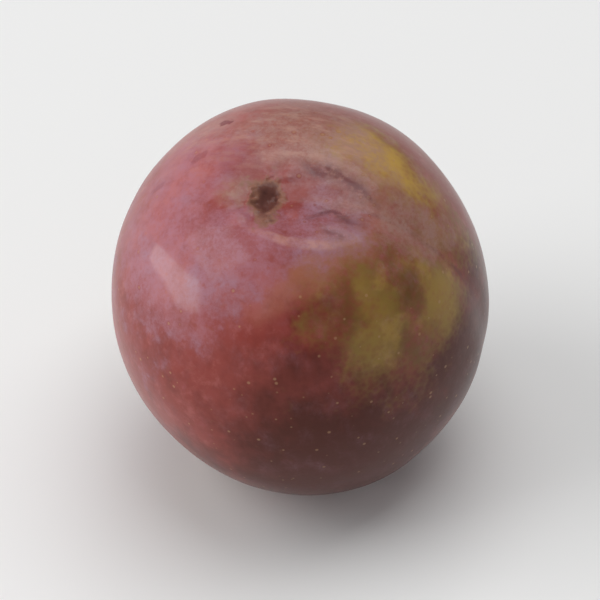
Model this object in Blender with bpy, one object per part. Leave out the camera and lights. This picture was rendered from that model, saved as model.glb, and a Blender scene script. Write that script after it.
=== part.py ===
"""A whole ripe plum, picked without its stalk, resting stem end up on a small flat spot.

Run it with: blender --background --python part.py
Lengths are in metres and +Z is up. The origin is the middle of the flat spot that the fruit rests on.

A plum grows as one piece, so it is one solid. It starts as a sphere in the fruit's own frame, with +Z along
the core to the stem end and +X through the suture, the seam down one side. Each point of the sphere is moved
to the skin, where formulas press in the stem cavity, the suture and the scars at both ends. The fruit is then
leaned over as it lies, and cut level where its weight flattens it.
"""

import math

import bmesh
import bpy
from mathutils import Euler, Vector

# The fruit's size. The length is between the two ends as they would be with no cavity or scar in them.
WIDTH = 0.0462
LENGTH = 0.0526

# The body is a little rounder than an ellipse, most at the shoulders. One cheek is fuller than the other.
ROUNDNESS = 2.09
ROUNDER_SHOULDERS = 0.06
FULLER_CHEEK = 0.012
FLATTER_SUTURE_SIDE = 0.018

# Soft unevenness of the flesh under the skin: height, lobes round the core, and the first lobe's place.
LUMPS = ((0.00018, 3, 0.7), (0.00011, 5, 2.1), (0.00007, 8, 4.0))
LUMPS_TWIST = 2.0

# The stem cavity is an oval dish, longer along the suture, with its middle on the suture's side of the core.
CAVITY_DEPTH = 0.0030
CAVITY_ALONG_SUTURE = 0.0074
CAVITY_ACROSS_SUTURE = 0.0054
CAVITY_OFF_CORE = 0.0028
CAVITY_CURVE = 1.8

# The stalk's scar in the cavity: a corky rim round a pit.
SCAR_RADIUS = 0.0023
SCAR_RIM_WIDTH = 0.0006
SCAR_RIM_HEIGHT = 0.0003
SCAR_PIT_RADIUS = 0.0014
SCAR_PIT_DEPTH = 0.0011

# The suture is a groove from the cavity to the blossom end, deepest where it crosses the shoulder.
SUTURE_DEPTH = 0.0008
SUTURE_HALF_WIDTH = 0.0026
SUTURE_DEPTH_ON_THE_SIDE = 0.30
SUTURE_DEEPEST_AT = math.radians(34)
SUTURE_DEEP_STRETCH = math.radians(24)
SUTURE_STARTS = (0.0030, 0.0080)
SUTURE_ENDS = (math.radians(6), math.radians(28))

# The dry speck where the flower's style dropped off, a little to the suture's side of the core.
BLOSSOM_SCAR_RADIUS = 0.0008
BLOSSOM_SCAR_DEPTH = 0.00025
BLOSSOM_SCAR_OFF_CORE = 0.0018

# How the fruit lies: its core leans forward and to the left, and its suture is on the right.
LEAN_FORWARD = math.radians(12)
LEAN_LEFT = math.radians(10.6)
SUTURE_TURN = math.radians(-14)
FLAT_SPOT_SINKS = 0.00056

# How finely the sphere is divided. Rings are drawn towards both ends, where the small forms are.
SEGMENTS = 80
RINGS = 54
RINGS_TO_THE_ENDS = 0.62
CLOSEST_TO_THE_FLAT_SPOT = 0.00025

SKIN_COLOUR = (0.26, 0.082, 0.062, 1.0)
SKIN_ROUGHNESS = 0.42


def smooth_step(value, low, high):
    """0 up to low, 1 from high, and a smooth rise between them."""
    share = min(1.0, max(0.0, (value - low) / (high - low)))
    return share * share * (3.0 - 2.0 * share)


def bump(distance, width):
    """1 in the middle, falling to nothing over about twice the width."""
    return math.exp(-((distance / width) ** 2))


def body_radius(theta, phi):
    """How far the skin is from the middle of the core, before anything is pressed into it.

    theta is the angle from the stem end and phi the angle round the core from the suture.
    """
    across = math.sin(theta) / (WIDTH / 2)
    along = abs(math.cos(theta)) / (LENGTH / 2)
    roundness = ROUNDNESS + ROUNDER_SHOULDERS * math.cos(theta)
    radius = (across**roundness + along**roundness) ** (-1 / roundness)
    on_the_side = math.sin(theta) ** 2
    radius *= 1 + on_the_side * (FULLER_CHEEK * math.sin(phi) - FLATTER_SUTURE_SIDE * math.cos(phi))
    for height, lobes, start in LUMPS:
        radius += on_the_side * height * math.sin(lobes * phi + start + LUMPS_TWIST * math.cos(theta))
    return radius


def suture_depth(theta, phi, off_core):
    """How deep the suture's groove is at this point of the skin."""
    if math.cos(phi) <= 0:
        return 0.0
    deep_stretch = bump(theta - SUTURE_DEEPEST_AT, SUTURE_DEEP_STRETCH)
    depth = SUTURE_DEPTH * (SUTURE_DEPTH_ON_THE_SIDE + (1 - SUTURE_DEPTH_ON_THE_SIDE) * deep_stretch)
    depth *= smooth_step(off_core, *SUTURE_STARTS) * smooth_step(math.pi - theta, *SUTURE_ENDS)
    return depth * bump(off_core * math.sin(phi), SUTURE_HALF_WIDTH)


def stem_end_drop(point):
    """How far the cavity and the stalk's scar lower the skin at this point of the stem end."""
    share_along = (point.x - CAVITY_OFF_CORE) / CAVITY_ALONG_SUTURE
    share_across = point.y / CAVITY_ACROSS_SUTURE
    cavity = CAVITY_DEPTH * math.exp(-(math.hypot(share_along, share_across) ** CAVITY_CURVE))
    off_core = math.hypot(point.x, point.y)
    pit = SCAR_PIT_DEPTH * bump(off_core, SCAR_PIT_RADIUS)
    rim = SCAR_RIM_HEIGHT * bump(off_core - SCAR_RADIUS, SCAR_RIM_WIDTH)
    return cavity + pit - rim


def skin_point(direction):
    """The point of the skin in this direction from the middle of the core, in the fruit's own frame."""
    theta = math.acos(max(-1.0, min(1.0, direction.z)))
    phi = math.atan2(direction.y, direction.x)
    radius = body_radius(theta, phi)
    radius -= suture_depth(theta, phi, radius * math.sin(theta))
    point = direction * radius
    if theta < math.pi / 2:
        point.z -= stem_end_drop(point)
    else:
        off_scar = math.hypot(point.x - BLOSSOM_SCAR_OFF_CORE, point.y)
        point.z += BLOSSOM_SCAR_DEPTH * bump(off_scar, BLOSSOM_SCAR_RADIUS)
    return point


def draw_rings_to_the_ends(direction):
    """Moves a direction nearer to the end of the core that it is closer to."""
    theta = math.acos(max(-1.0, min(1.0, direction.z)))
    theta -= RINGS_TO_THE_ENDS / 2 * math.sin(2 * theta)
    phi = math.atan2(direction.y, direction.x)
    return Vector((math.sin(theta) * math.cos(phi), math.sin(theta) * math.sin(phi), math.cos(theta)))


def fruit_body():
    """The whole skin as a bmesh in the fruit's own frame."""
    fruit = bmesh.new()
    bmesh.ops.create_uvsphere(fruit, u_segments=SEGMENTS, v_segments=RINGS, radius=1.0)
    for vertex in fruit.verts:
        vertex.co = skin_point(draw_rings_to_the_ends(vertex.co.normalized()))
    for face in fruit.faces:
        face.smooth = True
    return fruit


def lean_over(fruit):
    """Turns the fruit from its own frame to the way it lies."""
    turn = Euler((0.0, 0.0, SUTURE_TURN)).to_matrix()
    lean = Euler((LEAN_FORWARD, -LEAN_LEFT, 0.0)).to_matrix()
    bmesh.ops.rotate(fruit, cent=(0.0, 0.0, 0.0), matrix=lean @ turn, verts=fruit.verts)


def flat_spot_rim(fruit):
    """Cuts everything below the ground away. Returns the points of the cut, one at each crossing."""
    cut = bmesh.ops.bisect_plane(
        fruit,
        geom=fruit.verts[:] + fruit.edges[:] + fruit.faces[:],
        plane_co=(0.0, 0.0, 0.0),
        plane_no=(0.0, 0.0, 1.0),
        clear_inner=True,
    )
    return [item for item in cut["geom_cut"] if isinstance(item, bmesh.types.BMVert)]


def join_slivers(fruit, rim):
    """Joins each point close to the rim to the rim, and rim points that are close to each other."""
    joins = {}
    for vertex in rim:
        if vertex in joins:
            continue
        for edge in vertex.link_edges:
            other = edge.other_vert(vertex)
            if edge.calc_length() < CLOSEST_TO_THE_FLAT_SPOT and other not in joins.values():
                joins[other] = vertex
    bmesh.ops.weld_verts(fruit, targetmap=joins)


def press_flat_spot(fruit):
    """Cuts the lowest part level, closes it with one flat face, and puts the origin in that face's middle."""
    lowest = min(vertex.co.z for vertex in fruit.verts)
    bmesh.ops.translate(fruit, vec=(0.0, 0.0, -lowest - FLAT_SPOT_SINKS), verts=fruit.verts)
    rim = flat_spot_rim(fruit)
    for vertex in rim:
        vertex.co.z = 0.0
    join_slivers(fruit, rim)
    open_edges = [edge for edge in fruit.edges if edge.is_boundary]
    spot = bmesh.ops.contextual_create(fruit, geom=open_edges)["faces"][0]
    spot.smooth = False
    for edge in spot.edges:
        edge.smooth = False
    middle = spot.calc_center_median_weighted()
    bmesh.ops.translate(fruit, vec=(-middle.x, -middle.y, 0.0), verts=fruit.verts)
    bmesh.ops.recalc_face_normals(fruit, faces=fruit.faces)


def skin_material():
    """Ripe red-brown skin under a thin dusty bloom."""
    material = bpy.data.materials.new("plum_skin")
    material.use_nodes = True
    shader = material.node_tree.nodes["Principled BSDF"]
    shader.inputs["Base Color"].default_value = SKIN_COLOUR
    shader.inputs["Roughness"].default_value = SKIN_ROUGHNESS
    shader.inputs["Metallic"].default_value = 0.0
    material.diffuse_color = SKIN_COLOUR
    return material


def clear_scene():
    for thing in list(bpy.data.objects):
        bpy.data.objects.remove(thing)


def main():
    clear_scene()
    parts = bpy.data.collections.new("plum")
    bpy.context.scene.collection.children.link(parts)
    fruit = fruit_body()
    lean_over(fruit)
    press_flat_spot(fruit)
    mesh = bpy.data.meshes.new("plum")
    fruit.to_mesh(mesh)
    fruit.free()
    mesh.materials.append(skin_material())
    parts.objects.link(bpy.data.objects.new("plum", mesh))


main()
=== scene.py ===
"""A ripe plum on a pale floor: its skin, the stalk's scar, their finishes, the light and the camera.

Lengths are in metres and +Z is up. The fruit's own frame has +Z along the core to the stem end and +X
through the suture. Places on the skin are given there as two angles: away from the stem end, and round
the core from the suture.
"""

import math

import bmesh
import bpy
from mathutils import Euler, Matrix, Vector, noise


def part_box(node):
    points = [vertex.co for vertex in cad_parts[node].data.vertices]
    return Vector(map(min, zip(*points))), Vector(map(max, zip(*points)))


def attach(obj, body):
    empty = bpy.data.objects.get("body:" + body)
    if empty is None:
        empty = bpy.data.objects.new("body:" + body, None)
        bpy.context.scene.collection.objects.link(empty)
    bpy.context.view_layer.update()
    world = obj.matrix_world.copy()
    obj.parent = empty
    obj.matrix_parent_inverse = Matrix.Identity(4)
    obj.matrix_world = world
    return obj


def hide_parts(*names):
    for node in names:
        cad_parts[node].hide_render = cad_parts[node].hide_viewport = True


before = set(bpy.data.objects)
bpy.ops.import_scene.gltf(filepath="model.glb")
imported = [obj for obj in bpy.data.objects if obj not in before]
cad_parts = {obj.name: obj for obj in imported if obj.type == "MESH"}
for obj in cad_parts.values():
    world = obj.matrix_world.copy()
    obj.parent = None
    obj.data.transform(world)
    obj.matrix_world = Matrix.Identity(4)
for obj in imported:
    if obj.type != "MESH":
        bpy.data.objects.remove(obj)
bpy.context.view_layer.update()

# The body, as in the solid.
WIDTH = 0.0462
LENGTH = 0.0526
ROUNDNESS = 2.09
ROUNDER_SHOULDERS = 0.06
FULLER_CHEEK = 0.012
FLATTER_SUTURE_SIDE = 0.018
LUMPS = ((0.00018, 3, 0.7), (0.00011, 5, 2.1), (0.00007, 8, 4.0))
LUMPS_TWIST = 2.0

# The stem cavity, as in the solid.
CAVITY_DEPTH = 0.0030
CAVITY_ALONG_SUTURE = 0.0074
CAVITY_ACROSS_SUTURE = 0.0054
CAVITY_OFF_CORE = 0.0028
CAVITY_CURVE = 1.8

# The stalk's scar is an oval pit with a ragged corky rim, unlike the round one of the solid. The pit's
# width, the rim's place and width, and where the cork's grain ends are shares of the scar's half size.
SCAR_MIDDLE = (0.0001, -0.0010)
SCAR_HALF_SIZE = (0.0013, 0.0022)
SCAR_DEPTH = 0.0010
SCAR_PIT_WIDTH = 0.75
SCAR_RIM_HEIGHT = 0.00026
SCAR_RIM_AT = 1.1
SCAR_RIM_WIDTH = 0.3
SCAR_RAGGEDNESS = ((0.0016, 0.45), (0.0006, 0.25))
CORK_GRAIN = (0.0008, 0.00016)
CORK_ENDS = (1.0, 1.5)
FAR_FROM_SCAR = 2.4

# A soft swelling on the cheek's side of the scar. Its top is a height above the middle of the core.
SWELLING_MIDDLE = (-0.0036, -0.0006)
SWELLING_RADIUS = 0.0017
SWELLING_HEIGHT = 0.00028
SWELLING_RAGGEDNESS = (0.0020, 0.7)
SWELLING_TOP = 0.0245

# The suture, as in the solid.
SUTURE_DEPTH = 0.0008
SUTURE_HALF_WIDTH = 0.0026
SUTURE_DEPTH_ON_THE_SIDE = 0.30
SUTURE_DEEPEST_AT = math.radians(34)
SUTURE_DEEP_STRETCH = math.radians(24)
SUTURE_STARTS = (0.0030, 0.0080)
SUTURE_ENDS = (math.radians(6), math.radians(28))

# The blossom scar and the way the fruit lies, as in the solid.
BLOSSOM_SCAR_RADIUS = 0.0008
BLOSSOM_SCAR_DEPTH = 0.00025
BLOSSOM_SCAR_OFF_CORE = 0.0018
LEAN_FORWARD = math.radians(12)
LEAN_LEFT = math.radians(10.6)
SUTURE_TURN = math.radians(-14)
FLAT_SPOT_SINKS = 0.00056

# Fine relief that only the scene has: gentle unevenness as size and height, and puckers round the scar.
UNEVENNESS = ((0.013, 0.00020), (0.0048, 0.00005))
PUCKERS = 9
PUCKER_HEIGHT = 0.00006
PUCKER_REACH = (0.0024, 0.0040, 0.0080)
PUCKER_WANDER = (0.004, 3.0)

# The fold along the cavity's front lip. It moves out of the cavity's oval along the suture, per metre.
LIP_AT = 1.15
LIP_MOVES_OUT = 30.0
LIP_WIDTH = 0.24
LIP_HEIGHT = 0.00024
LIP_TURN = math.radians(12)
LIP_FULL_AT = 0.9

# Creases in the cavity's skin, each from one point to another, with its curve's bulge and its strength.
# They wander by two noises, which are read this far apart so that they differ.
CREASES = (
    ((0.0008, 0.0046), (0.0146, 0.0004), 0.0009, 1.0),
    ((0.0048, -0.0037), (0.0126, -0.0024), 0.0017, 0.7),
    ((0.0068, -0.0046), (0.0116, -0.0037), -0.0003, 0.5),
)
CREASE_WIDTH = 0.00055
CREASE_DEPTH = 0.00016
# The wide soft band beside each crease, as width and share: it lowers the skin a little, and the finish
# darkens it as painted shade.
CREASE_HOLLOW = (0.0015, 0.35)
CREASE_WANDER = (0.0034, 0.0012)
SECOND_WANDER = Vector((5.3, 1.7, 8.1))
CREASE_FADES_OVER = 0.35

# The height above the middle of the core from where the stem end's marks are looked for.
STEM_END_STARTS = 0.015

# How finely the sphere is divided.
SEGMENTS = 320
RINGS = 230
RINGS_TO_THE_ENDS = 0.50
CLOSEST_TO_THE_FLAT_SPOT = 0.00006


def smooth_step(value, low, high):
    """0 up to low, 1 from high, and a smooth rise between them."""
    share = min(1.0, max(0.0, (value - low) / (high - low)))
    return share * share * (3.0 - 2.0 * share)


def bump(distance, width):
    """1 in the middle, falling to nothing over about twice the width."""
    return math.exp(-((distance / width) ** 2))


def body_radius(theta, phi):
    """How far the skin is from the middle of the core, before anything is pressed into it."""
    across = math.sin(theta) / (WIDTH / 2)
    along = abs(math.cos(theta)) / (LENGTH / 2)
    roundness = ROUNDNESS + ROUNDER_SHOULDERS * math.cos(theta)
    radius = (across**roundness + along**roundness) ** (-1 / roundness)
    on_the_side = math.sin(theta) ** 2
    radius *= 1 + on_the_side * (FULLER_CHEEK * math.sin(phi) - FLATTER_SUTURE_SIDE * math.cos(phi))
    for height, lobes, start in LUMPS:
        radius += on_the_side * height * math.sin(lobes * phi + start + LUMPS_TWIST * math.cos(theta))
    return radius


def suture_depth(theta, phi, off_core):
    """How deep the suture's groove is at this point of the skin."""
    if math.cos(phi) <= 0:
        return 0.0
    deep_stretch = bump(theta - SUTURE_DEEPEST_AT, SUTURE_DEEP_STRETCH)
    depth = SUTURE_DEPTH * (SUTURE_DEPTH_ON_THE_SIDE + (1 - SUTURE_DEPTH_ON_THE_SIDE) * deep_stretch)
    depth *= smooth_step(off_core, *SUTURE_STARTS) * smooth_step(math.pi - theta, *SUTURE_ENDS)
    return depth * bump(off_core * math.sin(phi), SUTURE_HALF_WIDTH)


def cavity_share(point):
    """0 in the middle of the cavity's oval and 1 on its edge."""
    return math.hypot((point.x - CAVITY_OFF_CORE) / CAVITY_ALONG_SUTURE, point.y / CAVITY_ACROSS_SUTURE)


def scar_share(point):
    """0 in the middle of the stalk's scar and 1 on its ragged rim."""
    across = (point.x - SCAR_MIDDLE[0]) / SCAR_HALF_SIZE[0]
    along = (point.y - SCAR_MIDDLE[1]) / SCAR_HALF_SIZE[1]
    ragged = sum(share * noise.noise(point / size) for size, share in SCAR_RAGGEDNESS)
    return math.hypot(across, along) * (1 + ragged)


def swelling_share(point):
    """1 in the middle of the soft swelling beside the scar and 0 away from it."""
    size, strength = SWELLING_RAGGEDNESS
    off_middle = math.hypot(point.x - SWELLING_MIDDLE[0], point.y - SWELLING_MIDDLE[1])
    return bump(off_middle * (1 + strength * noise.noise(point / size)), SWELLING_RADIUS)


def crease_share(point):
    """1 along the creases in the cavity and 0 away from them."""
    size, strength = CREASE_WANDER
    hollow_width, hollow_share = CREASE_HOLLOW
    wander = Vector((noise.noise(point / size), noise.noise(point / size + SECOND_WANDER)))
    place = point.xy + strength * wander
    share = 0.0
    for start, end, bulge, depth in CREASES:
        start, end = Vector(start), Vector(end)
        chord = end - start
        offset = place - start
        along = offset.dot(chord) / chord.length_squared
        if 0 < along < 1:
            aside = chord.cross(offset) / chord.length - bulge * 4 * along * (1 - along)
            fade = smooth_step(min(along, 1 - along), 0.0, CREASE_FADES_OVER)
            narrow = (1 - hollow_share) * bump(aside, CREASE_WIDTH)
            share = max(share, depth * fade * (narrow + hollow_share * bump(aside, hollow_width)))
    return share


def lip_share(point):
    """1 along the fold on the cavity's front lip and 0 away from it."""
    phi = math.atan2(point.y, point.x)
    in_front = smooth_step(-math.sin(phi - LIP_TURN), 0.0, LIP_FULL_AT)
    return in_front * bump(cavity_share(point) - LIP_AT - LIP_MOVES_OUT * point.x, LIP_WIDTH)


def puckers(point):
    """The height of the soft puckers round the stalk's scar."""
    off_core = math.hypot(point.x, point.y)
    start, full, end = PUCKER_REACH
    strength = smooth_step(off_core, start, full) * (1 - smooth_step(off_core, full, end))
    size, turn = PUCKER_WANDER
    wander = turn * noise.noise(point / size)
    return PUCKER_HEIGHT * strength * math.sin(PUCKERS * math.atan2(point.y, point.x) + wander)


def stem_end_drop(point):
    """How far the cavity and everything in it and round it lower the skin at this point."""
    drop = CAVITY_DEPTH * math.exp(-(cavity_share(point) ** CAVITY_CURVE))
    scar = scar_share(point)
    rim = SCAR_RIM_HEIGHT * bump(scar - SCAR_RIM_AT, SCAR_RIM_WIDTH)
    drop += SCAR_DEPTH * bump(scar, SCAR_PIT_WIDTH) - rim
    grain_size, grain_height = CORK_GRAIN
    drop -= grain_height * (1 - smooth_step(scar, *CORK_ENDS)) * noise.noise(point / grain_size)
    drop -= SWELLING_HEIGHT * swelling_share(point)
    drop += CREASE_DEPTH * crease_share(point)
    return drop - LIP_HEIGHT * lip_share(point) - puckers(point)


def skin_point(direction):
    """The point of the skin in this direction from the middle of the core, in the fruit's own frame."""
    theta = math.acos(max(-1.0, min(1.0, direction.z)))
    phi = math.atan2(direction.y, direction.x)
    radius = body_radius(theta, phi)
    radius -= suture_depth(theta, phi, radius * math.sin(theta))
    point = direction * radius
    for size, height in UNEVENNESS:
        point += direction * height * noise.noise(point / size)
    if theta < math.pi / 2:
        point.z -= stem_end_drop(point)
    else:
        off_scar = math.hypot(point.x - BLOSSOM_SCAR_OFF_CORE, point.y)
        point.z += BLOSSOM_SCAR_DEPTH * bump(off_scar, BLOSSOM_SCAR_RADIUS)
    return point


def draw_rings_to_the_ends(direction):
    """Moves a direction nearer to the end of the core that it is closer to."""
    theta = math.acos(max(-1.0, min(1.0, direction.z)))
    theta -= RINGS_TO_THE_ENDS / 2 * math.sin(2 * theta)
    phi = math.atan2(direction.y, direction.x)
    return Vector((math.sin(theta) * math.cos(phi), math.sin(theta) * math.sin(phi), math.cos(theta)))


def lean():
    """The turn from the fruit's own frame to the way it lies."""
    turn = Euler((0.0, 0.0, SUTURE_TURN)).to_matrix()
    return Euler((LEAN_FORWARD, -LEAN_LEFT, 0.0)).to_matrix() @ turn


def fruit_body():
    """The whole skin as a bmesh in the fruit's own frame.

    Each point remembers its place there as core_place. As stem_end it remembers its share of the way
    from the scar's middle to its rim, up to a limit, and its shares of crease and lip.
    """
    fruit = bmesh.new()
    bmesh.ops.create_uvsphere(fruit, u_segments=SEGMENTS, v_segments=RINGS, radius=1.0)
    core_place = fruit.verts.layers.float_vector.new("core_place")
    stem_end = fruit.verts.layers.float_vector.new("stem_end")
    for vertex in fruit.verts:
        vertex.co = skin_point(draw_rings_to_the_ends(vertex.co.normalized()))
        vertex[core_place] = vertex.co
        vertex[stem_end] = (FAR_FROM_SCAR, 0.0, 0.0)
        if vertex.co.z > STEM_END_STARTS:
            scar = min(FAR_FROM_SCAR, scar_share(vertex.co))
            vertex[stem_end] = (scar, crease_share(vertex.co), lip_share(vertex.co))
    for face in fruit.faces:
        face.smooth = True
    return fruit


def flat_spot_rim(fruit):
    """Cuts everything below the ground away. Returns the points of the cut, one at each crossing."""
    cut = bmesh.ops.bisect_plane(
        fruit,
        geom=fruit.verts[:] + fruit.edges[:] + fruit.faces[:],
        plane_co=(0.0, 0.0, 0.0),
        plane_no=(0.0, 0.0, 1.0),
        clear_inner=True,
    )
    return [item for item in cut["geom_cut"] if isinstance(item, bmesh.types.BMVert)]


def join_slivers(fruit, rim):
    """Joins each point close to the rim to the rim, and rim points that are close to each other."""
    joins = {}
    for vertex in rim:
        if vertex in joins:
            continue
        for edge in vertex.link_edges:
            other = edge.other_vert(vertex)
            if edge.calc_length() < CLOSEST_TO_THE_FLAT_SPOT and other not in joins.values():
                joins[other] = vertex
    bmesh.ops.weld_verts(fruit, targetmap=joins)


def lay_down(fruit):
    """Leans the fruit over, cuts its flat spot, closes it and stands it on the origin."""
    bmesh.ops.rotate(fruit, cent=(0.0, 0.0, 0.0), matrix=lean(), verts=fruit.verts)
    lowest = min(vertex.co.z for vertex in fruit.verts)
    bmesh.ops.translate(fruit, vec=(0.0, 0.0, -lowest - FLAT_SPOT_SINKS), verts=fruit.verts)
    rim = flat_spot_rim(fruit)
    for vertex in rim:
        vertex.co.z = 0.0
    join_slivers(fruit, rim)
    open_edges = [edge for edge in fruit.edges if edge.is_boundary]
    spot = bmesh.ops.contextual_create(fruit, geom=open_edges)["faces"][0]
    for edge in spot.edges:
        edge.smooth = False
    middle = spot.calc_center_median_weighted()
    bmesh.ops.translate(fruit, vec=(-middle.x, -middle.y, 0.0), verts=fruit.verts)
    bmesh.ops.recalc_face_normals(fruit, faces=fruit.faces)


def piece_from(name, shape, material):
    """Makes a finished bmesh a piece of the root body."""
    mesh = bpy.data.meshes.new(name)
    shape.to_mesh(mesh)
    shape.free()
    mesh.materials.append(material)
    piece = bpy.data.objects.new(name, mesh)
    bpy.context.scene.collection.objects.link(piece)
    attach(piece, "root")
    return piece


class Recipe:
    """One material's nodes, added and joined by short calls."""

    def __init__(self, name):
        self.material = bpy.data.materials.new(name)
        self.material.use_nodes = True
        self.tree = self.material.node_tree
        self.shader = self.tree.nodes["Principled BSDF"]

    def feed(self, socket, value):
        """Sets a socket, or joins another socket to it."""
        if isinstance(value, bpy.types.NodeSocket):
            self.tree.links.new(value, socket)
        elif value is not None:
            socket.default_value = value

    def math(self, operation, first, second=None):
        """One sum on numbers."""
        node = self.tree.nodes.new("ShaderNodeMath")
        node.operation = operation
        self.feed(node.inputs[0], first)
        self.feed(node.inputs[1], second)
        return node.outputs[0]

    def vector(self, operation, first, second=None, scale=None):
        """One sum on vectors. It gives a number where the operation is a length or a distance."""
        node = self.tree.nodes.new("ShaderNodeVectorMath")
        node.operation = operation
        self.feed(node.inputs[0], first)
        self.feed(node.inputs[1], second)
        if scale is not None:
            self.feed(node.inputs["Scale"], scale)
        scalar = operation in ("DISTANCE", "LENGTH")
        return node.outputs["Value" if scalar else "Vector"]

    def attribute(self, name):
        """What each point of the mesh remembers under this name."""
        node = self.tree.nodes.new("ShaderNodeAttribute")
        node.attribute_name = name
        return node.outputs["Vector"]

    def split(self, vector):
        """A vector's three numbers."""
        node = self.tree.nodes.new("ShaderNodeSeparateXYZ")
        self.feed(node.inputs[0], vector)
        return node.outputs

    def noise(self, place, size, detail=3.0, roughness=0.55):
        """Cloudy noise from 0 to 1 whose clouds are about this size across, in metres."""
        node = self.tree.nodes.new("ShaderNodeTexNoise")
        self.feed(node.inputs["Vector"], place)
        node.inputs["Scale"].default_value = 1.0 / size
        node.inputs["Detail"].default_value = detail
        node.inputs["Roughness"].default_value = roughness
        return node.outputs["Fac"]

    def cells(self, place, size):
        """Cells of about this size: the way to the nearest middle, in cells, and its random colour."""
        node = self.tree.nodes.new("ShaderNodeTexVoronoi")
        self.feed(node.inputs["Vector"], place)
        node.inputs["Scale"].default_value = 1.0 / size
        return node.outputs["Distance"], node.outputs["Color"]

    def rise(self, value, low, high, bottom=0.0, top=1.0):
        """A smooth step from bottom at low to top at high."""
        node = self.tree.nodes.new("ShaderNodeMapRange")
        node.interpolation_type = "SMOOTHSTEP"
        self.feed(node.inputs["Value"], value)
        self.feed(node.inputs["From Min"], low)
        self.feed(node.inputs["From Max"], high)
        self.feed(node.inputs["To Min"], bottom)
        self.feed(node.inputs["To Max"], top)
        return node.outputs["Result"]

    def blend(self, share, first, second):
        """The first colour, with this share of the second laid over it."""
        node = self.tree.nodes.new("ShaderNodeMix")
        node.data_type = "RGBA"
        self.feed(node.inputs["Factor"], share)
        self.feed(node.inputs[6], first)
        self.feed(node.inputs[7], second)
        return node.outputs[2]

    def product(self, *values):
        """All the values multiplied."""
        result = values[0]
        for value in values[1:]:
            result = self.math("MULTIPLY", result, value)
        return result

    def patch(self, direction, spot):
        """1 in the middle of an oval patch of the skin, falling to 0 round its edge.

        The spot lists the angles of its middle, its half length and half width, and its turn from the
        line between the ends of the fruit, all in degrees.
        """
        from_stem, round_core, half_length, half_width, turn = map(math.radians, spot)
        facing = Euler((0.0, from_stem, round_core)).to_matrix() @ Matrix.Rotation(turn, 3, "Z")
        node = self.tree.nodes.new("ShaderNodeMapping")
        node.vector_type = "TEXTURE"
        self.feed(node.inputs["Vector"], direction)
        node.inputs["Location"].default_value = facing @ Vector((0.0, 0.0, 1.0))
        node.inputs["Rotation"].default_value = facing.to_euler()
        node.inputs["Scale"].default_value = (half_length, half_width, (half_length + half_width) / 2)
        away = self.vector("LENGTH", node.outputs["Vector"])
        return self.rise(away, *PATCH_FADES, 1.0, 0.0)

    def patches(self, direction, spots):
        """The strongest of several patches, each listed with its strength."""
        shares = [self.product(self.patch(direction, spot), strength) for spot, strength in spots]
        return self.most(*shares)

    def most(self, *values):
        """The largest of the values."""
        result = values[0]
        for value in values[1:]:
            result = self.math("MAXIMUM", result, value)
        return result

    def mix(self, *weighted):
        """The sum of values, each times its weight."""
        value, weight = weighted[0]
        result = self.product(value, weight)
        for value, weight in weighted[1:]:
            result = self.math("ADD", result, self.product(value, weight))
        return result

    def warp(self, place, direction, size, strength):
        """Moves a direction about by noise of this size, so that no edge runs straight."""
        node = self.tree.nodes.new("ShaderNodeTexNoise")
        self.feed(node.inputs["Vector"], place)
        node.inputs["Scale"].default_value = 1.0 / size
        node.inputs["Detail"].default_value = WARP_DETAIL
        centred = self.vector("SUBTRACT", node.outputs["Color"], (NOISE_MIDDLE,) * 3)
        return self.vector("ADD", direction, self.vector("SCALE", centred, scale=strength))


# Linear colours of the skin, from the flesh side outwards.
OLIVE_GROUND = (0.215, 0.130, 0.032, 1)
YELLOW_GROUND = (0.50, 0.30, 0.060, 1)
UMBER_GROUND = (0.125, 0.056, 0.018, 1)
TAN_GROUND = (0.38, 0.175, 0.088, 1)
RED_BLUSH = (0.265, 0.050, 0.040, 1)
# Dark maroon: partly the blush's own deep colour, partly painted shade on the lower front.
MAROON_BLUSH_AND_SHADE = (0.080, 0.012, 0.005, 1)
ROSY_BLUSH = (0.42, 0.135, 0.125, 1)
DARK_RED_DOT = (0.16, 0.020, 0.030, 1)
MAUVE_BLOOM = (0.360, 0.155, 0.195, 1)
DUSTY_BLOOM = (0.355, 0.198, 0.163, 1)
LILAC_BLOOM = (0.330, 0.195, 0.255, 1)
SCUFF_COLOUR = (0.47, 0.260, 0.205, 1)
PORE_COLOUR = (0.42, 0.235, 0.125, 1)
CORK_COLOUR = (0.26, 0.125, 0.080, 1)
# Pale tan on the swelling beside the scar: partly dust, partly painted light.
PALE_DUST_AND_LIGHT = (0.340, 0.180, 0.140, 1)
CORK_IN_THE_PIT = (0.130, 0.047, 0.037, 1)
# Painted shade in the cavity's creases and along the soft band beside them.
CREASE_SHADE_COLOUR = (0.130, 0.045, 0.052, 1)
# A painted highlight along the crest of the cavity's front lip.
LIP_HIGHLIGHT_COLOUR = (0.50, 0.235, 0.175, 1)
SUTURE_COLOUR = (0.130, 0.030, 0.028, 1)
BLOSSOM_SCAR_COLOUR = (0.085, 0.040, 0.022, 1)

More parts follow.
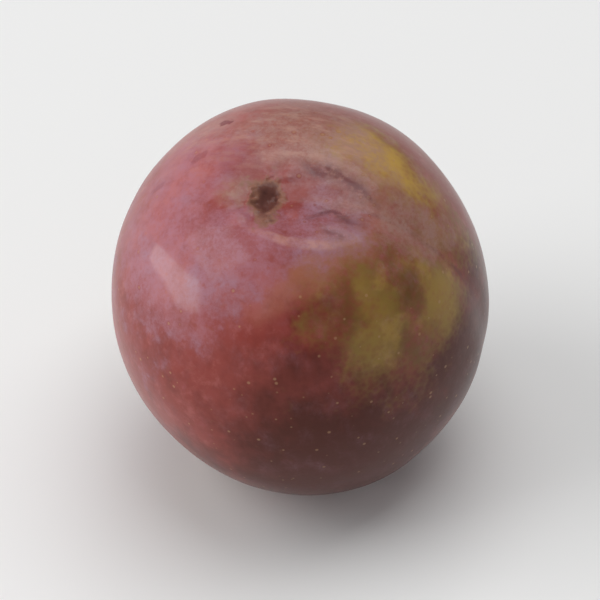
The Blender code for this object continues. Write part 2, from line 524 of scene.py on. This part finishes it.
# Patches of the skin, as the recipe's patch reads them, each with its strength.
THIN_BLUSH_PATCHES = (
    ((54, -22, 34, 36, 0), 0.38),
    ((36, 34, 26, 24, -20), 0.34),
    ((100, 150, 50, 36, 12), 0.36),
    ((118, 20, 34, 26, 20), 0.30),
)
BARE_PATCHES = (
    ((36, 40, 25, 14, -44), 0.56),
    ((50, -39, 28, 14, -21), 0.54),
    ((63, -11, 22, 13, -10), 0.54),
    ((40, -54, 15, 11, -20), 0.42),
    ((62, 14, 24, 13, 0), 0.40),
    ((47, -19, 13, 7, -15), 0.42),
    ((76, -38, 19, 14, -10), 0.17),
    ((68, -30, 12, 9, 0), 0.34),
    ((100, 150, 34, 22, 12), 0.46),
    ((112, 25, 26, 13, 20), 0.42),
    ((128, -130, 22, 14, -30), 0.50),
)
YELLOW_PATCHES = (
    ((36, 40, 24, 13, -44), 1.0),
    ((62, -12, 14, 10, -10), 0.35),
    ((50, -40, 16, 7, -21), 0.25),
    ((100, 150, 20, 12, 12), 0.5),
)
UMBER_PATCHES = (((41, -52, 10, 7, 0), 0.75), ((47, -19, 13, 5, -15), 0.80), ((66, -31, 11, 9, 0), 0.60))
TAN_PATCHES = (((27, -45, 7, 22, 0), 0.75), ((31, 5, 6, 14, 0), 0.4))
ROSY_PATCHES = (
    ((25, 160, 17, 34, 0), 0.9),
    ((36, -150, 18, 26, 0), 0.8),
    ((27, -92, 12, 17, 0), 0.6),
    ((70, 110, 24, 18, 10), 0.6),
)
# Deep maroon patches, low on the fruit: partly the blush's own deep colour, partly painted shade.
DEEP_AND_SHADED_PATCHES = (
    ((98, -66, 46, 50, 0), 0.95),
    ((92, -20, 30, 36, 0), 0.80),
    ((88, 8, 30, 18, 0), 0.60),
    ((56, -68, 14, 18, 0), 0.50),
    ((40, -63, 9, 7, 0), 0.40),
    ((122, 80, 40, 50, 0), 0.70),
    ((80, 60, 22, 16, 0), 0.50),
)
BLOOM_PATCHES = (
    ((35, -149, 25, 30, 15), 0.86),
    ((25, 165, 22, 32, 0), 0.66),
    ((22, 66, 22, 30, 0), 0.96),
    ((19, -12, 14, 20, 0), 0.84),
    ((41, 7, 21, 13, 0), 0.84),
    ((17, -106, 16, 19, 0), 0.72),
    ((29, -121, 12, 11, 0), 0.80),
    ((35, -11, 9, 9, 0), 0.42),
    ((85, 112, 36, 30, 15), 0.85),
    ((104, -165, 26, 20, -25), 0.72),
    ((112, 42, 20, 14, 30), 0.60),
    ((70, 175, 70, 60, 0), 0.34),
    ((75, 70, 60, 50, 0), 0.30),
)
SCUFFED_PATCHES = (
    ((20, 88, 15, 34, 0), 0.55),
    ((30, 84, 9, 20, 0), 0.50),
    ((33, 60, 10, 10, 0), 0.60),
    ((20, 20, 9, 20, 0), 0.25),
)
RED_MARKS = (
    ((13, 135, 9, 7, 0), 0.20),
    ((31, 126, 2.8, 1.8, 30), 0.75),
    ((24, 154, 3.4, 1.8, 70), 0.32),
    ((35, 174, 3.6, 1.7, 25), 0.26),
)

# How a patch fades, as shares of the way to its edge, and how the noise that warps its outline is made.
PATCH_FADES = (0.25, 1.25)
WARP_DETAIL = 4.0
NOISE_MIDDLE = 0.5
WIDE_WARP = (0.014, 0.34)
CLOSE_WARP = (0.0035, 0.20)
MARK_WARP = (0.0009, 0.05)

# The skin's noises: size in metres, then detail and roughness where they aren't the usual ones.
GROUND_CLOUDS = (0.005, 5.0)
BLUSH_STREAKS = (0.0046, 6.0, 0.62)
BLUSH_FLECKS = (0.0012, 4.0, 0.60)
BLUSH_CELL = 0.00075
DEPTH_CLOUDS = (0.009, 6.0, 0.62)
DEPTH_STREAKS = (0.0018, 4.0)
PALE_MOTTLE = (0.0024, 6.0, 0.68)
ROSY_MOTTLE = (0.0028, 7.0, 0.72)
SUTURE_WANDER = 0.0040
SUTURE_BREAKS = (0.0026, 4.0)
BLOOM_CLOUDS = (0.0050, 7.0, 0.64)
BLOOM_WIPES = (0.0019, 5.0, 0.66)
BLOOM_GRAIN = (0.00042, 2.0)
BLOOM_POWDER = (0.00050, 4.0, 0.7)
BLOOM_RUBS = (0.0027, 7.0, 0.72)
SCUFF_STREAKS = (0.0013, 6.0, 0.66)
LILAC_CLOUDS = (0.0100, 4.0)
CORK_ROUGHNESS = (0.0009, 4.0, 0.65)
CORK_PATCHES = (0.0016, 6.0, 0.70)
SCAR_EDGE = 0.0008
GLOSS_GRAIN = 0.0007
RELIEF_GRAIN = 0.0005

# How the skin's coordinates are squeezed, so that its noises are drawn out the other way.
TO_THE_ENDS = (1.0, 1.0, 0.55)
RUBBED_ALONG = (1.0, 0.8, 0.7)
ALONG_THE_SHOULDER = (0.30, 1.0, 0.75)

# Lengths of the painted marks. The pairs say where a mark starts to change and where it has changed:
# by height for the darker foot, which is partly the blush's maroon and partly painted shade, along the
# fruit's X for the suture and the lip's painted highlight, along its Y for the creases' painted shade,
# and by the way to the mark's middle for the others.
MAROON_AND_SHADED_FOOT = (-0.020, 0.008)
SUTURE_LINE_EDGE = (0.00008, 0.00050)
SUTURE_LINE_STARTS = (0.0050, 0.0120)
SUTURE_LINE_WANDER = 0.0012
LIP_LIGHTENS = (-0.003, 0.006)
CREASES_WEAKEN = (-0.001, 0.002)
PALE_DUST_AND_LIGHT_EDGE = (0.0022, 0.0052)
PALE_DUST_AND_LIGHT_WANDER = 0.0036
BLOSSOM_SCAR_EDGE = (0.0010, 0.0019)

# The breathing pores: the cell that holds one, and the least radius and its spread, in cells.
PORE_CELL = 0.0017
PORE_RADIUS = 0.030
PORE_SPREAD = 0.10

# The skin's bumps, its gloss and the glow of the flesh under it.
RELIEF_STRENGTH = 0.40
RELIEF_HEIGHT = 0.00005
CORK_DULLNESS = 0.85
GLOSS = {
    "Specular IOR Level": 0.08,
    "Coat Weight": 0.25,
    "Coat Roughness": 0.12,
    "Subsurface Weight": 0.08,
    "Subsurface Radius": (1.0, 0.30, 0.15),
    "Subsurface Scale": 0.0025,
}

# The floor, and how far it is below the flat spot so that the two faces don't coincide.
FLOOR_HALF_SIZE = 0.6
FLOOR_BELOW = 0.0001
FLOOR_COLOUR = (0.88, 0.88, 0.87, 1)
FLOOR_ROUGHNESS = 0.75
FLOOR_SPECULAR = 0.05

# The lamps: name, place, size, watts, and roll about the line of sight.
LAMPS = (
    ("window", (-1.97, -0.17, 0.110), (0.60, 1.50), 20.5, math.radians(112)),
    ("sky", (-0.75, -0.12, 0.75), (0.70, 0.70), 4.2, 0.0),
    ("overhead", (0.10, 0.10, 0.90), (0.70, 0.70), 4.2, 0.0),
)
STUDIO_COLOUR = (0.96, 0.97, 1.0, 1)
STUDIO_STRENGTH = 0.27

# The camera stands as the photograph's does. The field is the width that it sees at the fruit.
CAMERA_ELEVATION = math.radians(45)
CAMERA_DISTANCE = 0.70
CAMERA_FIELD = 0.074
CAMERA_SENSOR = 36
CAMERA_NEAREST = 0.01


def skin_places(recipe):
    """The fruit's own coordinates, its warped directions, and its coordinates drawn out to the ends."""
    place = recipe.attribute("core_place")
    direction = recipe.vector("NORMALIZE", place)
    direction = recipe.warp(place, direction, *WIDE_WARP)
    direction = recipe.warp(place, direction, *CLOSE_WARP)
    streaks = recipe.vector("MULTIPLY", place, TO_THE_ENDS)
    return place, direction, streaks


def scuffs(recipe, place, direction):
    """Light rubbed streaks behind the cavity, along the shoulder."""
    drawn_out = recipe.vector("MULTIPLY", place, ALONG_THE_SHOULDER)
    streaked = recipe.rise(recipe.noise(drawn_out, *SCUFF_STREAKS), 0.46, 0.66)
    return recipe.product(streaked, recipe.patches(direction, SCUFFED_PATCHES))


def red_marks(recipe, place):
    """Dark red marks high on the cheek, small but for one wide and faint, with ragged edges."""
    direction = recipe.warp(place, recipe.vector("NORMALIZE", place), *MARK_WARP)
    marks = []
    for spot, strength in RED_MARKS:
        mark = recipe.rise(recipe.patch(direction, spot), 0.1, 0.7)
        marks.append(recipe.product(mark, strength))
    return recipe.most(*marks)


def skin_ground(recipe, place, direction):
    """The ground colour where no sun reached: olive, with yellower clouds and patches and umber ones."""
    clouds = recipe.rise(recipe.noise(place, *GROUND_CLOUDS), 0.48, 0.68, 0.0, 0.45)
    yellow = recipe.most(clouds, recipe.patches(direction, YELLOW_PATCHES))
    ground = recipe.blend(yellow, OLIVE_GROUND, YELLOW_GROUND)
    return recipe.blend(recipe.patches(direction, UMBER_PATCHES), ground, UMBER_GROUND)


def blush_cover(recipe, place, direction, streaks):
    """How far the blush covers the ground: mottled, and thin or missing in patches."""
    mottle = recipe.mix(
        (recipe.noise(streaks, *BLUSH_STREAKS), 0.75),
        (recipe.noise(place, *BLUSH_FLECKS), 0.45),
        (recipe.math("SUBTRACT", 1.0, recipe.cells(place, BLUSH_CELL)[0]), 0.30),
    )
    bare = recipe.patches(direction, BARE_PATCHES)
    thin = recipe.patches(direction, THIN_BLUSH_PATCHES)
    cover = recipe.math("SUBTRACT", recipe.math("SUBTRACT", mottle, bare), thin)
    return recipe.rise(cover, -0.26, 0.64)


def blush_colour(recipe, place, direction, streaks):
    """The blush's colour: red, maroon where it is deep and low, and rosy where it is pale. The maroon low
    down and in the deep patches is partly the blush's own and partly painted shade.
    """
    clouds = recipe.noise(place, *DEPTH_CLOUDS)
    depth = recipe.mix((clouds, 0.55), (recipe.noise(streaks, *DEPTH_STREAKS), 0.35))
    # The skin darkens towards the bottom and in the deep patches: partly the blush's maroon, partly
    # painted shade.
    low = recipe.rise(recipe.split(place)[2], *MAROON_AND_SHADED_FOOT, 0.18, 0.0)
    deep_and_shaded_patches = recipe.product(recipe.patches(direction, DEEP_AND_SHADED_PATCHES), 0.44)
    deep = recipe.math("ADD", recipe.math("ADD", depth, low), deep_and_shaded_patches)
    red = recipe.blend(recipe.rise(deep, 0.36, 0.88), RED_BLUSH, MAROON_BLUSH_AND_SHADE)
    pale = recipe.rise(recipe.noise(place, *PALE_MOTTLE), 0.48, 0.70, 0.0, 0.45)
    pale = recipe.product(pale, recipe.rise(deep, 0.40, 0.62, 1.0, 0.0))
    mottled = recipe.rise(recipe.noise(streaks, *ROSY_MOTTLE), 0.38, 0.60, 0.40, 1.0)
    rosy = recipe.product(recipe.patches(direction, ROSY_PATCHES), mottled)
    return recipe.blend(recipe.most(pale, rosy), red, ROSY_BLUSH)


def skin_blush(recipe, place, direction, streaks, ground):
    """The blush over the ground, tan patches under the cavity's lip, and the suture's line."""
    cover = blush_cover(recipe, place, direction, streaks)
    colour = recipe.blend(cover, ground, blush_colour(recipe, place, direction, streaks))
    tan = recipe.product(recipe.patches(direction, TAN_PATCHES), 0.65)
    colour = recipe.blend(tan, colour, TAN_GROUND)
    return recipe.blend(suture_line(recipe, place), colour, SUTURE_COLOUR)


def suture_line(recipe, place):
    """A faint darker line along the bottom of the suture, from the cavity to the blossom end."""
    to_suture, aside, _ = recipe.split(place)
    centred = recipe.math("SUBTRACT", recipe.noise(place, SUTURE_WANDER), NOISE_MIDDLE)
    wander = recipe.product(centred, SUTURE_LINE_WANDER)
    off_line = recipe.math("ABSOLUTE", recipe.math("ADD", aside, wander))
    line = recipe.rise(off_line, *SUTURE_LINE_EDGE, 1.0, 0.0)
    broken = recipe.rise(recipe.noise(place, *SUTURE_BREAKS), 0.34, 0.58, 0.15, 0.60)
    return recipe.product(line, broken, recipe.rise(to_suture, *SUTURE_LINE_STARTS))


def skin_pores(recipe, place):
    """The breathing pores: 1 on each small pale dot, and 1 on the wider place where no bloom holds."""
    distance, colour = recipe.cells(place, PORE_CELL)
    radius = recipe.math("ADD", recipe.product(recipe.split(colour)[0], PORE_SPREAD), PORE_RADIUS)
    outside = recipe.math("SUBTRACT", distance, radius)
    return recipe.rise(outside, -0.05, 0.045, 1.0, 0.0), recipe.rise(outside, 0.0, 0.14, 1.0, 0.0)


def skin_bloom(recipe, place, direction, streaks, pore_places):
    """How thickly the waxy bloom lies: on the cheeks and round the cavity, thin where it was touched."""
    clouds = recipe.noise(place, *BLOOM_CLOUDS)
    wipes = recipe.noise(streaks, *BLOOM_WIPES)
    grain = recipe.noise(place, *BLOOM_GRAIN)
    worn = recipe.mix((clouds, 1.20), (wipes, 0.75), (grain, 0.16))
    thick = recipe.patches(direction, BLOOM_PATCHES)
    cover = recipe.math("SUBTRACT", recipe.math("ADD", thick, worn), 1.02)
    soft = recipe.rise(cover, -0.06, 1.00)
    scuffed = recipe.rise(cover, 0.28, 0.46)
    bloom = recipe.mix((soft, 0.74), (scuffed, 0.24))
    powder = recipe.mix((recipe.noise(place, *BLOOM_POWDER), 0.6), (wipes, 0.4))
    bloom = recipe.product(bloom, recipe.rise(powder, 0.36, 0.60, 0.52, 1.0))
    rubbed = recipe.noise(recipe.vector("MULTIPLY", place, RUBBED_ALONG), *BLOOM_RUBS)
    bloom = recipe.product(bloom, recipe.rise(rubbed, 0.37, 0.56, 0.66, 1.03))
    return recipe.product(bloom, recipe.math("SUBTRACT", 1.0, recipe.product(pore_places, 0.62)))


def bloom_colour(recipe, place, direction):
    """Mauve on the cheek, dustier towards the suture and the back, with lilac clouds in front."""
    to_suture, to_back, _ = recipe.split(direction)
    dusty = recipe.rise(recipe.mix((to_suture, 0.6), (to_back, 1.3)), 0.0, 0.36)
    haze = recipe.blend(dusty, MAUVE_BLOOM, DUSTY_BLOOM)
    lilac = recipe.rise(recipe.noise(place, *LILAC_CLOUDS), 0.46, 0.66, 0.0, 0.75)
    lilac = recipe.product(lilac, recipe.rise(to_back, 0.3, 0.0, 0.4, 1.0))
    return recipe.blend(lilac, haze, LILAC_BLOOM)


def swelling_colour(recipe, place, rough, patchy, colour):
    """The pale tan patch on the swelling beside the scar: partly dusty skin, partly painted light on the
    cavity's wall.
    """
    off_swelling = recipe.vector("DISTANCE", place, (*SWELLING_MIDDLE, SWELLING_TOP))
    off_swelling = recipe.math("ADD", off_swelling, recipe.product(patchy, PALE_DUST_AND_LIGHT_WANDER))
    near = recipe.rise(off_swelling, *PALE_DUST_AND_LIGHT_EDGE, 0.85, 0.0)
    # Partly dusty skin, partly painted light on the cavity's wall.
    dusty = recipe.product(near, recipe.rise(rough, 0.34, 0.62, 0.45, 1.0))
    return recipe.blend(dusty, colour, PALE_DUST_AND_LIGHT)


def stem_end_colours(recipe, place, colour):
    """Colours the swelling, paints a highlight along the cavity's lip and shade in its creases, and
    colours the scar. Returns the cork's share too.
    """
    rough = recipe.noise(place, *CORK_ROUGHNESS)
    patchy = recipe.noise(place, *CORK_PATCHES)
    colour = swelling_colour(recipe, place, rough, patchy, colour)
    scar, crease, lip = recipe.split(recipe.attribute("stem_end"))
    broken = recipe.rise(patchy, 0.38, 0.60, 0.20, 1.0)
    to_suture, to_back, _ = recipe.split(place)
    # A painted highlight along the lip's crest, broken, and stronger towards the suture.
    light = recipe.rise(to_suture, *LIP_LIGHTENS, 0.10, 0.55)
    lip = recipe.product(recipe.rise(lip, 0.66, 1.0), light)
    colour = recipe.blend(recipe.product(lip, broken), colour, LIP_HIGHLIGHT_COLOUR)
    # Painted shade in the cavity's creases.
    shown = recipe.rise(to_back, *CREASES_WEAKEN, 1.15, 0.75)
    crease = recipe.product(crease, recipe.rise(rough, 0.24, 0.56), shown)
    colour = recipe.blend(crease, colour, CREASE_SHADE_COLOUR)
    centred = recipe.math("SUBTRACT", rough, NOISE_MIDDLE)
    ragged = recipe.math("ADD", scar, recipe.product(centred, 1.1))
    cork = recipe.rise(ragged, 1.30, 1.95, 1.0, 0.0)
    colour = recipe.blend(recipe.product(cork, 0.85), colour, CORK_COLOUR)
    pit = recipe.rise(ragged, 0.60, 1.42, 1.0, 0.0)
    return recipe.blend(pit, colour, CORK_IN_THE_PIT), cork


def blossom_scar_colour(recipe, place, colour):
    """The dry brown speck at the blossom end."""
    away = recipe.vector("DISTANCE", place, (BLOSSOM_SCAR_OFF_CORE, 0.0, -LENGTH / 2))
    away = recipe.math("ADD", away, recipe.product(recipe.noise(place, SCAR_EDGE), SCAR_EDGE))
    speck = recipe.rise(away, *BLOSSOM_SCAR_EDGE, 1.0, 0.0)
    return recipe.blend(speck, colour, BLOSSOM_SCAR_COLOUR)


def skin_relief(recipe, place, pores, bloom):
    """Fine bumps: the skin's grain, raised pores and the edges of the bloom."""
    grain = recipe.noise(place, RELIEF_GRAIN)
    height = recipe.mix((grain, 0.5), (pores, 0.3), (bloom, 0.5))
    relief = recipe.tree.nodes.new("ShaderNodeBump")
    relief.inputs["Strength"].default_value = RELIEF_STRENGTH
    relief.inputs["Distance"].default_value = RELIEF_HEIGHT
    recipe.feed(relief.inputs["Height"], height)
    recipe.feed(recipe.shader.inputs["Normal"], relief.outputs["Normal"])


def plum_skin():
    """The finish of the fruit: ground, blush, pores, bloom, corky scars, gloss and fine relief."""
    recipe = Recipe("plum_skin_fine")
    place, direction, streaks = skin_places(recipe)
    ground = skin_ground(recipe, place, direction)
    colour = skin_blush(recipe, place, direction, streaks, ground)
    pores, pore_places = skin_pores(recipe, place)
    colour = recipe.blend(recipe.product(pores, 0.50), colour, PORE_COLOUR)
    bloom = skin_bloom(recipe, place, direction, streaks, pore_places)
    haze = bloom_colour(recipe, place, direction)
    colour = recipe.blend(recipe.product(bloom, 0.86), colour, haze)
    colour = recipe.blend(scuffs(recipe, place, direction), colour, SCUFF_COLOUR)
    colour = recipe.blend(red_marks(recipe, place), colour, DARK_RED_DOT)
    colour, cork = stem_end_colours(recipe, place, colour)
    colour = blossom_scar_colour(recipe, place, colour)
    recipe.feed(recipe.shader.inputs["Base Color"], colour)
    grain = recipe.noise(place, GLOSS_GRAIN)
    rough = recipe.mix((recipe.rise(bloom, 0.0, 1.0, 0.27, 0.46), 1.0), (grain, 0.10))
    rough = recipe.most(rough, recipe.product(cork, CORK_DULLNESS))
    recipe.feed(recipe.shader.inputs["Roughness"], rough)
    skin_relief(recipe, place, pores, bloom)
    for name, value in GLOSS.items():
        recipe.shader.inputs[name].default_value = value
    return recipe.material


def make_fruit():
    """The whole fruit, in the place of the solid's one node."""
    fruit = fruit_body()
    lay_down(fruit)
    piece = piece_from("plum_fruit", fruit, plum_skin())
    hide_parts("plum")


def make_floor():
    """A plain pale table top under the fruit."""
    shape = bmesh.new()
    bmesh.ops.create_grid(shape, x_segments=1, y_segments=1, size=FLOOR_HALF_SIZE)
    bmesh.ops.translate(shape, vec=(0.0, 0.0, -FLOOR_BELOW), verts=shape.verts)
    mesh = bpy.data.meshes.new("floor")
    shape.to_mesh(mesh)
    shape.free()
    floor = bpy.data.objects.new("floor", mesh)
    bpy.context.scene.collection.objects.link(floor)
    recipe = Recipe("pale_floor")
    recipe.shader.inputs["Base Color"].default_value = FLOOR_COLOUR
    recipe.shader.inputs["Roughness"].default_value = FLOOR_ROUGHNESS
    recipe.shader.inputs["Specular IOR Level"].default_value = FLOOR_SPECULAR
    mesh.materials.append(recipe.material)


def aim(thing, target, roll=0.0):
    """Turns a lamp or camera to look at a point, and rolls it about its line of sight."""
    look = (target - thing.location).to_track_quat("-Z", "Y").to_matrix()
    thing.rotation_euler = (look @ Euler((0.0, 0.0, roll)).to_matrix()).to_euler()


def add_light(target, name, place, size, power, roll):
    """A soft white rectangular lamp, turned to the target."""
    lamp = bpy.data.lights.new(name, "AREA")
    lamp.shape = "RECTANGLE"
    lamp.size, lamp.size_y = size
    lamp.energy = power
    light = bpy.data.objects.new(name, lamp)
    light.location = Vector(place)
    bpy.context.scene.collection.objects.link(light)
    aim(light, target, roll)


def light_scene(target):
    """Soft studio light: a low window on the left, two softer lamps above, and a faint glow all round."""
    for lamp in LAMPS:
        add_light(target, *lamp)
    world = bpy.data.worlds.new("studio")
    world.use_nodes = True
    background = world.node_tree.nodes["Background"]
    background.inputs["Color"].default_value = STUDIO_COLOUR
    background.inputs["Strength"].default_value = STUDIO_STRENGTH
    bpy.context.scene.world = world


def add_camera(target):
    """Looks at the fruit as the photograph does, from the front and 45 degrees above."""
    camera = bpy.data.cameras.new("camera")
    camera.sensor_width = CAMERA_SENSOR
    camera.lens = CAMERA_SENSOR * CAMERA_DISTANCE / CAMERA_FIELD
    camera.clip_start = CAMERA_NEAREST
    view = bpy.data.objects.new("camera", camera)
    towards_camera = Vector((0.0, -math.cos(CAMERA_ELEVATION), math.sin(CAMERA_ELEVATION)))
    view.location = target + CAMERA_DISTANCE * towards_camera
    bpy.context.scene.collection.objects.link(view)
    aim(view, target)
    bpy.context.scene.camera = view


def main():
    """Stands the fruit on its floor, lights it and looks at it."""
    low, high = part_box("plum")
    middle = (low + high) / 2
    make_floor()
    make_fruit()
    light_scene(middle)
    add_camera(middle)
    bpy.context.scene.view_settings.view_transform = "Standard"


main()
